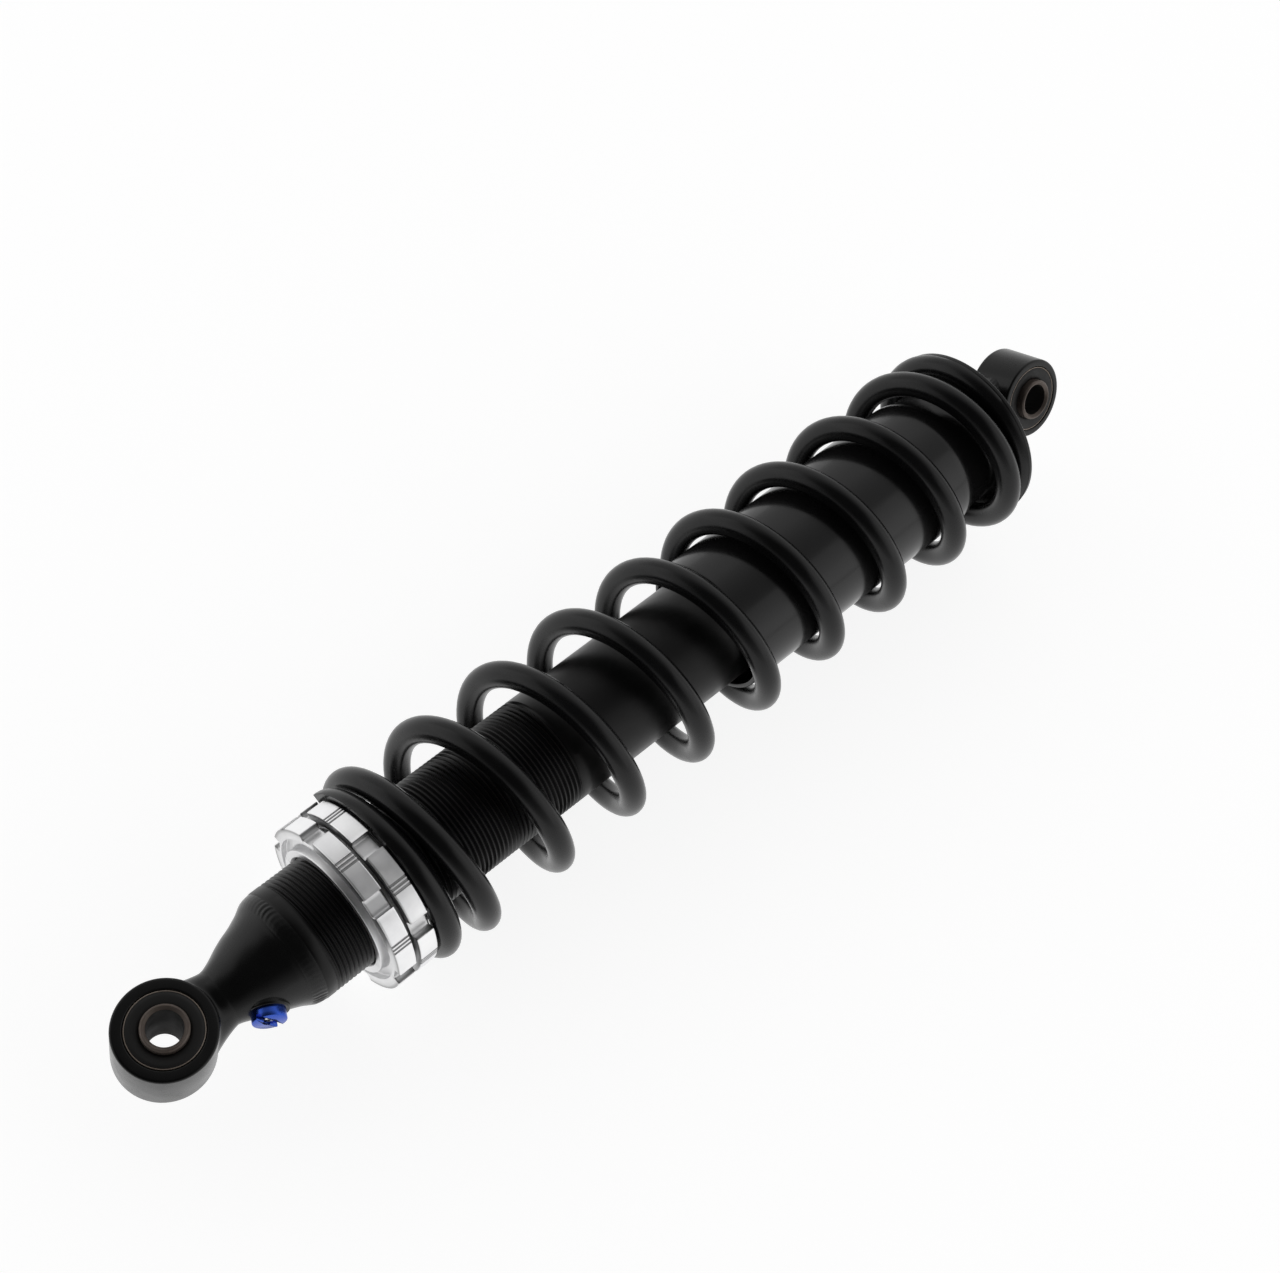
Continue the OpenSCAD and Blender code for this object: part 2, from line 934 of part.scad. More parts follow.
end_cap();
end_cap_weld();
damper_tube();
lower_bush_shell();
lower_bush_rubber();
lower_bush_sleeve();
charge_port_plug();
charge_port_screw();
charge_port_pellet();
floating_piston();
floating_piston_ring();
floating_piston_band();
seal_head();
rod_bush();
rod_seal();
dust_wiper();
seal_head_ring();
seal_head_clip();
lock_collar();
preload_collar();
coil_spring();
bump_stop();
piston_rod();
piston();
piston_band();
compression_shims();
rebound_shims();
piston_nut();
top_out_bumper();
rod_lock_nut();
spring_retainer();
guide_tube();
upper_eye_boss();
upper_eye_weld();
upper_eye();
upper_bush_shell();
upper_bush_rubber();
upper_bush_sleeve();
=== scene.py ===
import json
import math

import bmesh
import bpy
import numpy as np
from mathutils import Matrix, Vector


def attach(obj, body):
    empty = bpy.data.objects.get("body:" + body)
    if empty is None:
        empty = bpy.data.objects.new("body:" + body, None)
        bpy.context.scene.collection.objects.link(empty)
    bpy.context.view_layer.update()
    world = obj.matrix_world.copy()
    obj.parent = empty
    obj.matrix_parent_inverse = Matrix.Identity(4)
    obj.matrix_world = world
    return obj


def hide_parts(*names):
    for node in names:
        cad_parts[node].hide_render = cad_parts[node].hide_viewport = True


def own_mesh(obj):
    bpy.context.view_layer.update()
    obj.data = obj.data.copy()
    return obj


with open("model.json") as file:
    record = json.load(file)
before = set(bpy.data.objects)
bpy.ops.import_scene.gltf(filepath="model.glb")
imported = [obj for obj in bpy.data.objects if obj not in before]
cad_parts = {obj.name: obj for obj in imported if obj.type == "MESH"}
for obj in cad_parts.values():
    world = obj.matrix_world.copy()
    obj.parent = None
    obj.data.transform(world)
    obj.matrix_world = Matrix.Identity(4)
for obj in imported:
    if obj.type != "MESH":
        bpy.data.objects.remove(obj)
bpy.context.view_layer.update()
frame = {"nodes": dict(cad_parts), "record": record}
scene = bpy.context.scene
MM = 0.001
TAU = 2 * math.pi

# Sizes in millimetres, in the part's own frame: X along the shock, Z along the lower eye's bore.
# A place is a distance along X from the lower eye's centre.
EYE_GAP = 350.0
EYE_TURN = math.radians(55)
LOWER_RING_R, LOWER_RING_HALF, LOWER_SLEEVE_HALF = 14.4, 10.0, 11.8
UPPER_RING_R, UPPER_RING_HALF, UPPER_SLEEVE_HALF = 13.3, 8.0, 9.9
RING_CORNER = 0.9
SHELL_R = 10.8
SHELL_WALL = 0.3
RUBBER_R = 9.8
SLEEVE_R = 6.7
BOLT_R = 5.1
NECK_R, NECK_PLACE = 8.75, 18.2
BOSS_R, BOSS_LEN = 9.5, 25.7
WELD_START, WELD_END, WELD_INNER_R = 36.3, 42.3, 15.4
WELD_DEPTH = 0.12
BORE_R = 15.0
TUBE_R = 18.0
TUBE_START, TUBE_END = 41.0, 210.0
THREAD_START, THREAD_END = 44.5, 136.8
PITCH, THREAD_DEPTH, THREAD_FADE = 1.5, 0.7, 1.2
COLLAR_R, COLLAR_LEN = 27.4, 7.7
COLLAR_BORE_R, COLLAR_HUB_R, COLLAR_RIM_R = 18.05, 21.0, 24.1
RIM_LOW, RIM_HIGH = 1.25, 7.25
NOTCH_FLOOR_R, NOTCH_HALF = 24.9, 2.95
SEAT = 72.9
RETAINER, RETAINER_END = 322.3, 324.3
RETAINER_R = 29.3
WIRE_R = 4.0
TURNS = 10.5
TIP_TURN = math.radians(-74)
END_R, OPEN_R = 25.6, 27.45
GUIDE_START, GUIDE_R, GUIDE_WALL = 204.4, 22.5, 1.5
GUIDE_NECK_R, GUIDE_NECK_INNER_R = 20.8, 19.2
SPIGOT_R, SPIGOT_INNER_R = 19.15, 17.2
PORT_PLACE = 32.4
PORT_TURN, PORT_TILT = math.radians(83.9), math.radians(-30)
PLUG_R, PLUG_SCREW_R = 4.85, 1.7

# steps round a turned piece, and the angle in degrees over which its edges are sharp
ROUND_STEPS, SHARP = 144, 40


# ---------------------------------------------------------------- materials

def new_material(name):
    material = bpy.data.materials.new(name + "_look")
    material.use_nodes = True
    tree = material.node_tree
    shader = tree.nodes["Principled BSDF"]
    return material, tree, shader


def noise(tree, scale, detail, rough, stretch=(1, 1, 1)):
    """a noise texture in the part's frame, stretched along its axes"""
    place = tree.nodes.new("ShaderNodeTexCoord")
    mapping = tree.nodes.new("ShaderNodeMapping")
    mapping.inputs["Scale"].default_value = stretch
    texture = tree.nodes.new("ShaderNodeTexNoise")
    texture.inputs["Scale"].default_value = scale
    texture.inputs["Detail"].default_value = detail
    texture.inputs["Roughness"].default_value = rough
    tree.links.new(place.outputs["Object"], mapping.inputs["Vector"])
    tree.links.new(mapping.outputs["Vector"], texture.inputs["Vector"])
    return texture.outputs["Fac"]


def spread(tree, value, low, high, start=0.3, end=0.7):
    """a value between start and end turned into one between low and high"""
    node = tree.nodes.new("ShaderNodeMapRange")
    node.inputs["From Min"].default_value = start
    node.inputs["From Max"].default_value = end
    node.inputs["To Min"].default_value = low
    node.inputs["To Max"].default_value = high
    tree.links.new(value, node.inputs["Value"])
    return node.outputs["Result"]


def two_tone(tree, value, dark, light):
    node = tree.nodes.new("ShaderNodeMix")
    node.data_type = "RGBA"
    node.inputs["A"].default_value = (*dark, 1)
    node.inputs["B"].default_value = (*light, 1)
    tree.links.new(value, node.inputs["Factor"])
    return node.outputs["Result"]


def bump(tree, shader, height, strength, distance):
    node = tree.nodes.new("ShaderNodeBump")
    node.inputs["Strength"].default_value = strength
    node.inputs["Distance"].default_value = distance
    tree.links.new(height, node.inputs["Height"])
    tree.links.new(node.outputs["Normal"], shader.inputs["Normal"])


def math_node(tree, operation, first, second=None):
    node = tree.nodes.new("ShaderNodeMath")
    node.operation = operation
    tree.links.new(first, node.inputs[0])
    if isinstance(second, float):
        node.inputs[1].default_value = second
    elif second is not None:
        tree.links.new(second, node.inputs[1])
    return node.outputs[0]


def finish_of(name, dark, light, metallic, smooth, coarse, grain=900, grain_depth=0.00002,
              mottle=60, stretch=(1, 1, 1), mirror=0.5):
    """a surface with a slightly uneven tone, gloss and grain"""
    material, tree, shader = new_material(name)
    cloud = noise(tree, mottle, 4.0, 0.6)
    tree.links.new(two_tone(tree, spread(tree, cloud, 0, 1), dark, light),
                   shader.inputs["Base Color"])
    fine = noise(tree, grain, 3.0, 0.55, stretch)
    tree.links.new(spread(tree, noise(tree, mottle * 2.7, 5.0, 0.65), smooth, coarse),
                   shader.inputs["Roughness"])
    bump(tree, shader, fine, 0.35, grain_depth)
    shader.inputs["Metallic"].default_value = metallic
    shader.inputs["Specular IOR Level"].default_value = mirror
    return material


PAINT = finish_of("black_paint", (0.0025, 0.0025, 0.0025), (0.0045, 0.0045, 0.0045), 0,
                  0.2, 0.3, grain=500, grain_depth=0.00001, mirror=0.27)
TUBE = finish_of("tube_black", (0.0025, 0.0025, 0.0025), (0.0045, 0.004, 0.004), 0,
                 0.28, 0.4, grain_depth=0.000006, mirror=0.22)
SPRING = finish_of("spring_black", (0.003, 0.003, 0.003), (0.005, 0.005, 0.0055), 0,
                   0.2, 0.3, grain=300, grain_depth=0.000006, mirror=0.28)
GUIDE = finish_of("guide_plastic", (0.007, 0.0068, 0.007), (0.009, 0.0088, 0.009), 0,
                  0.14, 0.22, grain=400, grain_depth=0.000003, mirror=0.36)
COLLAR = finish_of("collar_aluminium", (0.86, 0.86, 0.87), (0.97, 0.97, 0.97), 1,
                   0.3, 0.44, grain=800, grain_depth=0.000004, mottle=90, stretch=(8, 1, 1))
SHELL = finish_of("shell_steel", (0.22, 0.18, 0.15), (0.34, 0.29, 0.25), 0.7,
                  0.45, 0.6, grain_depth=0.000008)
SLEEVE = finish_of("sleeve_steel", (0.1, 0.08, 0.068), (0.155, 0.13, 0.115), 0.6,
                   0.45, 0.6, grain_depth=0.000008, mottle=120, mirror=0.3)
# a dark tone for the inside of the sleeves' bores: painted shade, not the steel's own colour
BORE_SHADE = finish_of("sleeve_bore", (0.012, 0.011, 0.01), (0.02, 0.0185, 0.017), 0,
                 0.6, 0.75, mirror=0.1)
RUBBER = finish_of("bush_rubber", (0.005, 0.0047, 0.0045), (0.008, 0.0076, 0.0072), 0,
                   0.5, 0.65, grain=700, grain_depth=0.00001, mirror=0.35)
SEAL = finish_of("seal_rubber", (0.01, 0.01, 0.01), (0.02, 0.02, 0.019), 0, 0.5, 0.65)
BLUE = finish_of("blue_anodised", (0.022, 0.065, 0.4), (0.038, 0.1, 0.52), 0.9,
                 0.2, 0.3, grain=1500, grain_depth=0.000004)
STEEL = finish_of("bright_steel", (0.5, 0.5, 0.5), (0.66, 0.66, 0.66), 1, 0.25, 0.4)
CHROME = finish_of("rod_chrome", (0.72, 0.72, 0.73), (0.8, 0.8, 0.81), 1, 0.05, 0.1)
HEAD = finish_of("head_aluminium", (0.6, 0.6, 0.61), (0.72, 0.72, 0.73), 1, 0.25, 0.4)
BRONZE = finish_of("bush_bronze", (0.42, 0.29, 0.14), (0.55, 0.4, 0.2), 1, 0.3, 0.45)
BAND = finish_of("band_plastic", (0.14, 0.1, 0.06), (0.2, 0.15, 0.1), 0, 0.45, 0.6)
FOAM = finish_of("foam", (0.02, 0.02, 0.017), (0.04, 0.04, 0.035), 0, 0.75, 0.9)


def shade_recesses(material):
    """paints shade into the grooves between and across the collars' rims, by radius and place"""
    tree = material.node_tree
    shader = tree.nodes["Principled BSDF"]
    tone = shader.inputs["Base Color"].links[0].from_socket
    where = tree.nodes.new("ShaderNodeTexCoord")
    parts = tree.nodes.new("ShaderNodeSeparateXYZ")
    tree.links.new(where.outputs["Object"], parts.inputs[0])
    across = tree.nodes.new("ShaderNodeCombineXYZ")
    tree.links.new(parts.outputs["Y"], across.inputs["Y"])
    tree.links.new(parts.outputs["Z"], across.inputs["Z"])
    radius = tree.nodes.new("ShaderNodeVectorMath")
    radius.operation = "LENGTH"
    tree.links.new(across.outputs[0], radius.inputs[0])
    share = spread(tree, radius.outputs["Value"], 0, 1, 24 * MM, COLLAR_R * MM)
    # painted shade by radius: a little on the hub and the notch floors, more down the notch
    # walls and in the turned marks just under the rim
    ramp = tree.nodes.new("ShaderNodeValToRGB")
    stops = ramp.color_ramp.elements
    for at, level in ((0.26, 0.85), (0.6, 0.75), (0.84, 0.4), (0.91, 0.4)):
        stops.new(at).color = (level, level, level, 1)
    stops[0].color = (0.85, 0.85, 0.85, 1)
    stops[-1].color = (1, 1, 1, 1)
    tree.links.new(share, ramp.inputs["Fac"])
    # painted shade in the gap between the two collars' rims, deepest towards the axis
    groove = SEAT - COLLAR_LEN + (RIM_LOW + RIM_HIGH - COLLAR_LEN) / 2
    offset = math_node(tree, "SUBTRACT", parts.outputs["X"], groove * MM)
    along = spread(tree, math_node(tree, "ABSOLUTE", offset), 0.1, 1, 0.6 * MM, 0.8 * MM)
    out = spread(tree, radius.outputs["Value"], 0.1, 1, 25.5 * MM, (COLLAR_R - 0.1) * MM)
    for source in (ramp.outputs["Color"], math_node(tree, "MAXIMUM", along, out)):
        blend = tree.nodes.new("ShaderNodeMix")
        blend.data_type = "RGBA"
        blend.blend_type = "MULTIPLY"
        blend.inputs["Factor"].default_value = 1
        tree.links.new(tone, blend.inputs["A"])
        tree.links.new(source, blend.inputs["B"])
        tone = blend.outputs["Result"]
    tree.links.new(tone, shader.inputs["Base Color"])


shade_recesses(COLLAR)

SLOT_MATERIALS = {m.name.replace("_look", ""): m for m in (
    PAINT, TUBE, SPRING, GUIDE, COLLAR, SHELL, SLEEVE, RUBBER, SEAL, BLUE, STEEL,
    CHROME, HEAD, BRONZE, BAND, FOAM)}
for part in frame["record"]["subparts"]:
    data = frame["nodes"][part["node"]].data
    data.materials.clear()
    data.materials.append(SLOT_MATERIALS[part["material_slot"]])


# ---------------------------------------------------------------- mesh helpers

def rounded(outline, steps):
    """a closed [radius, place, corner] outline with its corners turned into arcs"""
    out = []
    count = len(outline)
    for i, (r, t, corner) in enumerate(outline):
        here = np.array((r, t), float)
        if corner <= 0:
            out.append(here)
            continue
        before = np.array(outline[i - 1][:2], float) - here
        after = np.array(outline[(i + 1) % count][:2], float) - here
        size_a = min(corner, 0.48 * np.linalg.norm(before))
        size_b = min(corner, 0.48 * np.linalg.norm(after))
        start = here + before / np.linalg.norm(before) * size_a
        stop = here + after / np.linalg.norm(after) * size_b
        for k in range(steps + 1):
            s = k / steps
            out.append((1 - s) ** 2 * start + 2 * s * (1 - s) * here + s * s * stop)
    return np.array(out)


def between(start, leave, stop, arrive, share):
    """a point on the cubic from start to stop with the given slopes at its ends"""
    s = share
    return ((2 * s ** 3 - 3 * s ** 2 + 1) * start + (s ** 3 - 2 * s ** 2 + s) * leave
            + (-2 * s ** 3 + 3 * s ** 2) * stop + (s ** 3 - s ** 2) * arrive)


def curve_through(points, per_span=6):
    """a smooth open curve through the points"""
    p = np.array(points, float)
    slopes = np.gradient(p, axis=0)
    out = [between(p[i], slopes[i], p[i + 1], slopes[i + 1], k / per_span)
           for i in range(len(p) - 1) for k in range(per_span)]
    return np.array(out + [p[-1]])


def circle(steps):
    """angles of a full turn in equal steps, without the last one"""
    return np.arange(steps) / steps * TAU


def about_x(radius, place, angle):
    """a point at a place, a distance from the shock's axis, at an angle from +Z toward -Y"""
    radius, place, angle = np.broadcast_arrays(radius, place, angle)
    return np.stack([place, -radius * np.sin(angle), radius * np.cos(angle)], -1)


def away_from_axis(points):
    """unit vectors from the shock's axis to the points"""
    away = points - points * np.array([1, 0, 0])
    return away / np.maximum(np.linalg.norm(away, axis=-1, keepdims=True), 1e-9)


def loop_normals(loop):
    """unit normals of a closed loop of points in a plane, all to the same side"""
    ahead = np.roll(loop, -1, 0) - np.roll(loop, 1, 0)
    normal = np.stack([-ahead[:, 1], ahead[:, 0]], -1)
    return normal / np.maximum(np.linalg.norm(normal, axis=1), 1e-9)[:, None]


def add_mesh(name, points, faces, material, sharp):
    """a smooth-shaded piece whose edges over the angle sharp stay sharp"""
    mesh = bpy.data.meshes.new(name)
    mesh.from_pydata((np.asarray(points) * MM).tolist(), [], faces)
    mesh.update()
    shape = bmesh.new()
    shape.from_mesh(mesh)
    bmesh.ops.remove_doubles(shape, verts=shape.verts, dist=1e-7)
    bmesh.ops.recalc_face_normals(shape, faces=shape.faces)
    shape.to_mesh(mesh)
    shape.free()
    mesh.polygons.foreach_set("use_smooth", [True] * len(mesh.polygons))
    mesh.set_sharp_from_angle(angle=math.radians(sharp))
    mesh.materials.append(material)
    piece = bpy.data.objects.new(name, mesh)
    scene.collection.objects.link(piece)
    return piece


def grid_faces(count, width, wrap_rows=True, wrap_columns=True):
    """the faces between neighbouring rows of a grid of points"""
    faces = []
    for i in range(count if wrap_rows else count - 1):
        low = i * width
        high = (i + 1) % count * width
        for j in range(width if wrap_columns else width - 1):
            k = (j + 1) % width
            faces.append((low + j, low + k, high + k, high + j))
    return faces


def add_grid(name, rows, material, sharp, wrap_rows=True, wrap_columns=True):
    """a closed skin over a grid of points; rows that don't wrap get a cap at each end"""
    rows = np.asarray(rows, float)
    count, width = rows.shape[:2]
    faces = grid_faces(count, width, wrap_rows, wrap_columns)
    if not wrap_rows:
        faces.append(tuple(range(width)))
        faces.append(tuple((count - 1) * width + j for j in reversed(range(width))))
    return add_mesh(name, rows.reshape(-1, 3), faces, material, sharp)


def lathe(name, outline, material):
    """a closed [radius, place] outline turned about the shock's axis"""
    rows = [about_x(r, t, circle(ROUND_STEPS)) for r, t in outline]
    return add_grid(name, rows, material, SHARP)


def lathe_z(name, outline, material, steps=ROUND_STEPS, sharp=SHARP):
    """a closed [radius, height] outline turned about Z"""
    angles = circle(steps)
    rows = [np.stack([r * np.cos(angles), r * np.sin(angles), np.full(steps, z)], -1)
            for r, z in outline]
    return add_grid(name, rows, material, sharp)


def moved(piece, matrix):
    """moves a piece's points, so that its object stays at the origin"""
    piece.data.transform(matrix)
    piece.data.update()
    return piece


def stands_for(piece, body, slot_name, *nodes):
    """puts a piece on its body and hides the nodes that it replaces; slot_name is not used"""
    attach(piece, body)
    if nodes:
        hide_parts(*nodes)


def wobble(points, size, depth, seed):
    """a smooth pseudo-random height for each point, from a few crossed waves"""
    rng = np.random.default_rng(seed)
    height = np.zeros(points.shape[:-1])
    for k in range(9):
        wave = rng.normal(size=3)
        wave *= TAU / (size * rng.uniform(0.7, 1.6)) / np.linalg.norm(wave)
        height += np.sin(points @ wave + rng.uniform(0, TAU))
    return depth * height / 3


AT_UPPER_EYE = Matrix.Translation((EYE_GAP * MM, 0, 0)) @ Matrix.Rotation(EYE_TURN, 4, "X")


# ---------------------------------------------------------------- eyes and bushes

def both_ends(upper_side):
    """a closed outline from its half above the middle and that half's mirror image"""
    return [(r, -z, *corner) for r, z, *corner in reversed(upper_side)] + upper_side


def eye_ring(name, radius, half):
    mouth = 0.6
    return lathe_z(name, rounded(both_ends([
        (radius, half, RING_CORNER), (SHELL_R + 0.45, half, 0.2),
        (SHELL_R, half - mouth, 0.1)]), 6), PAINT)


def bush_shell(name, half):
    lip_r, lip = SHELL_R - SHELL_WALL, 0.6
    return lathe_z(name, rounded(both_ends([
        (SHELL_R, half, 0.15), (lip_r, half, 0.1), (lip_r, half - lip, 0.0),
        (RUBBER_R, half - lip, 0.0)]), 3), SHELL)


def bush_rubber(name, half):
    inner = SLEEVE_R + 0.03
    face = [(RUBBER_R, half - 1.0), (SHELL_R - 0.32, half - 0.6), (SHELL_R - 0.32, half),
            (SHELL_R - 0.45, half + 0.12), (RUBBER_R - 0.5, half + 0.16), (7.6, half + 0.05),
            (7.1, half - 0.1), (inner, half - 0.4)]
    return lathe_z(name, both_ends(face), RUBBER, sharp=60)


def bush_sleeve(name, half):
    chamfer, edge = 0.8, 0.5
    return lathe_z(name, rounded(both_ends([
        (SLEEVE_R, half - edge, 0.15), (SLEEVE_R - edge, half, 0.15),
        (BOLT_R + chamfer, half, 0.12), (BOLT_R, half - chamfer, 0.1)]), 4), SLEEVE)


def sleeve_bore(name, half):
    """a thin dark skin on a sleeve's bore: painted shade for the sleeve's shaded inside"""
    deep = half - 0.82
    return lathe_z(name, both_ends([(BOLT_R - 0.03, deep), (BOLT_R + 0.02, deep)]), BORE_SHADE)


def ring_to_neck(ring_r, turn, spread_y, spread_z, neck_r, neck_place, pull, steps, width):
    """rows of a fillet from a ring's outside to a round neck. The neck's place counts from the
    ring's centre, turn is the ring's own angle, and pull is how far the fillet keeps its
    direction at each end. Also gives the angle of each column."""
    angles = circle(width)
    y = -spread_y * np.sin(angles)
    z = spread_z * np.cos(angles)
    start = np.stack([np.sqrt(ring_r ** 2 - y ** 2) - 0.03, y, z], -1)
    inward = np.stack([y ** 2 / np.sqrt(ring_r ** 2 - y ** 2), -y, -z], -1)
    inward *= pull[0] / np.linalg.norm(inward, axis=1)[:, None]
    c, s = math.cos(turn), math.sin(turn)
    spin = np.array([[1, 0, 0], [0, c, -s], [0, s, c]])
    start = start @ spin.T
    inward = inward @ spin.T
    seen = np.arctan2(-start[:, 1], start[:, 2])
    stop = about_x(neck_r, neck_place, seen)
    along = np.array([pull[1], 0, 0])
    rows = [between(start, inward, stop, along, k / steps) for k in range(steps + 1)]
    return rows, seen


# lower eye, neck and cone, one forging
lower_ring = eye_ring("lower_ring", LOWER_RING_R, LOWER_RING_HALF)
fillet_steps = 14
rows, seen = ring_to_neck(LOWER_RING_R, 0, 12.1, 9.3, NECK_R, NECK_PLACE, (6.0, 5.3),
                          fillet_steps, 192)
cone = curve_through([(NECK_R, NECK_PLACE), (9.2, 19.9), (10.2, 22.4), (11.6, 25.5),
                      (12.75, 28.3), (13.75, 31.1), (14.7, 33.4), (15.6, 35.4),
                      (16.35, 36.7), (16.8, 37.6)])
rows += [about_x(r, t, seen) for r, t in [*cone[1:], (12.0, 37.9)]]
rows = np.array(rows)
uneven = rows[fillet_steps + 2:]
uneven += away_from_axis(uneven) * wobble(uneven, 9.0, 0.05, 4)[..., None]
neck = add_grid("lower_neck", rows, PAINT, 50, wrap_rows=False)
for piece in (lower_ring, neck):
    stands_for(piece, "damper_body", "black_paint", "end_cap")

# weld between the cap and the tube: overlapping arcs, smoothed by the paint
angles = circle(720)
ripple_zone = (0.06 + np.exp(-((angles - 1.55) / 0.22) ** 2)
               + 0.8 * np.exp(-((angles - TAU + 0.5) / 0.16) ** 2))
weld_rows = [about_x(WELD_INNER_R, WELD_START, angles)]
for u in np.linspace(0, 1, 26):
    t = WELD_START + (WELD_END - WELD_START) * u
    base = np.interp(t, [WELD_START, 37.3, 38.3, 39.5, 40.6, 41.4, WELD_END],
                     [15.9, 16.72, 17.25, 17.6, 17.78, 17.85, 17.6])
    arcs = np.sin(62 * angles - 5.0 * (2 * u - 1) ** 2)
    depth = WELD_DEPTH * np.sin(math.pi * u) ** 0.8 * ripple_zone
    weld_rows.append(about_x(base + depth * arcs, t, angles))
weld_rows.append(about_x(WELD_INNER_R, WELD_END, angles))
weld = add_grid("cap_weld", weld_rows, PAINT, 60)
stands_for(weld, "damper_body", "black_paint", "end_cap_weld")

for name, half_ring, half_sleeve, matrix, body in (
        ("lower", LOWER_RING_HALF, LOWER_SLEEVE_HALF, Matrix.Identity(4), "damper_body"),
        ("upper", UPPER_RING_HALF, UPPER_SLEEVE_HALF, AT_UPPER_EYE, "rod_assembly")):
    bush, free = name + "_bush", name + "_sleeve"
    shell = moved(bush_shell(name + "_shell", half_ring - 0.2), matrix)
    stands_for(shell, body, "shell_steel", bush + "_shell")
    rubber = moved(bush_rubber(name + "_rubber", half_ring - 0.35), matrix)
    stands_for(rubber, body, "bush_rubber", bush + "_rubber")
    sleeve = moved(bush_sleeve(name + "_sleeve", half_sleeve), matrix)
    stands_for(sleeve, free, "sleeve_steel", bush + "_sleeve")
    # a dark skin of painted shade inside each sleeve's bore
    bore = moved(sleeve_bore(name + "_bore", half_sleeve), matrix)
    stands_for(bore, free, "sleeve_steel")

# upper eye, its boss and the weld between them
upper_ring = moved(eye_ring("upper_ring", UPPER_RING_R, UPPER_RING_HALF), AT_UPPER_EYE)
stands_for(upper_ring, "rod_assembly", "black_paint", "upper_eye")
rows, seen = ring_to_neck(UPPER_RING_R, EYE_TURN, 10.6, 7.6, BOSS_R, 15.6, (1.2, 1.8), 12, 360)
rows = np.array(rows)
ripple = np.sin(46 * seen)[None, :] * np.sin(np.linspace(0, math.pi, len(rows)))[:, None]
rows += away_from_axis(rows) * 0.04 * ripple[..., None]
tail = [about_x(r, t, seen)
        for r, t in ((BOSS_R, 16.6), (BOSS_R, 20.0), (BOSS_R, BOSS_LEN - 0.5),
                     (BOSS_R - 0.2, BOSS_LEN), (6.0, BOSS_LEN))]
rows = np.concatenate([rows, tail])
rows[..., 0] = EYE_GAP - rows[..., 0]
boss = add_grid("upper_boss", rows, PAINT, 50, wrap_rows=False)
stands_for(boss, "rod_assembly", "black_paint", "upper_eye_boss", "upper_eye_weld")


# ---------------------------------------------------------------- tube with its thread

# the columns go round once more to the first one's place, a pitch further along the thread
angles = np.arange(ROUND_STEPS + 1) / ROUND_STEPS * TAU
tube_rows = [about_x(r, t, math.pi + angles)
             for r, t in ((BORE_R, TUBE_START), (TUBE_R - 0.6, TUBE_START - 0.1),
                          (TUBE_R - 0.15, TUBE_START + 0.3), (TUBE_R, TUBE_START + 1.0))]
# share of the pitch and share of the thread's depth
thread_form = ((0.0, 0), (0.06, 0), (0.41, 1), (0.5, 1), (0.59, 1), (0.94, 0))
for turn in range(-1, int((THREAD_END - THREAD_START) / PITCH) + 1):
    for mark, deep in thread_form:
        t = THREAD_START + (turn + mark + angles / TAU) * PITCH
        fade = (np.clip((t - THREAD_START) / THREAD_FADE, 0, 1)
                * np.clip((THREAD_END - t) / THREAD_FADE, 0, 1))
        t = np.clip(t, THREAD_START, THREAD_END)
        tube_rows.append(about_x(TUBE_R - THREAD_DEPTH * deep * fade, t, math.pi + angles))
for r, t in ((TUBE_R, 140.0), (TUBE_R, 175.0), (TUBE_R, TUBE_END - 0.8),
             (TUBE_R - 0.1, TUBE_END - 0.3), (TUBE_R - 0.4, TUBE_END), (BORE_R + 0.3, TUBE_END),
             (BORE_R, TUBE_END - 0.3), (BORE_R, TUBE_END - 2.0)):
    tube_rows.append(about_x(r, t, math.pi + angles))
tube = add_grid("threaded_tube", tube_rows, TUBE, 50, wrap_columns=False)
stands_for(tube, "damper_body", "tube_black", "damper_tube")


# ---------------------------------------------------------------- collars

def collar_outline(turn):
    """points round one castellated rim, as (y, z)"""
    rim, floor, half = COLLAR_R, NOTCH_FLOOR_R, NOTCH_HALF
    wall_angle = math.asin(half / rim)
    step = math.radians(60)
    corner = 0.35
    # each point of the outline: the angle of its own frame, how far out, and how far across
    local = []
    for i in range(6):
        middle = turn + i * step
        sides = []
        for way in (-1, 1):
            side = [(floor, 0.45 * half * way), (floor, (half - 0.7) * way),
                    (floor + 0.25, (half - 0.25) * way), (floor + 0.7, half * way),
                    (rim - 1.2, half * way), (rim - corner, half * way),
                    (rim - 0.1, (half + 0.1) * way)]
            sides.append(side if way > 0 else side[::-1])
        for radial, across in sides[0] + [(floor, 0.0)] + sides[1]:
            local.append((middle, radial, across))
        land = np.linspace(middle + wall_angle + 0.012, middle + step - wall_angle - 0.012, 23)
        centre = middle + step / 2
        marks = []
        for k in (-1, 0, 1):
            at = centre + math.radians(2.6 * k)
            for shift, drop in ((-0.42, 0), (-0.3, 0.33), (0.3, 0.33), (0.42, 0)):
                marks.append((at + shift / rim, drop))
        low, high = marks[0][0] - 0.004, marks[-1][0] + 0.004
        points = [(a, 0.0) for a in land if not low < a < high] + marks
        for a, drop in sorted(points):
            local.append((a, rim - drop, 0.0))
    out = []
    for a, radial, across in local:
        axis = np.array((-math.sin(a), math.cos(a)))
        aside = np.array((-math.cos(a), -math.sin(a)))
        out.append(axis * radial + aside * across)
    return np.array(out)


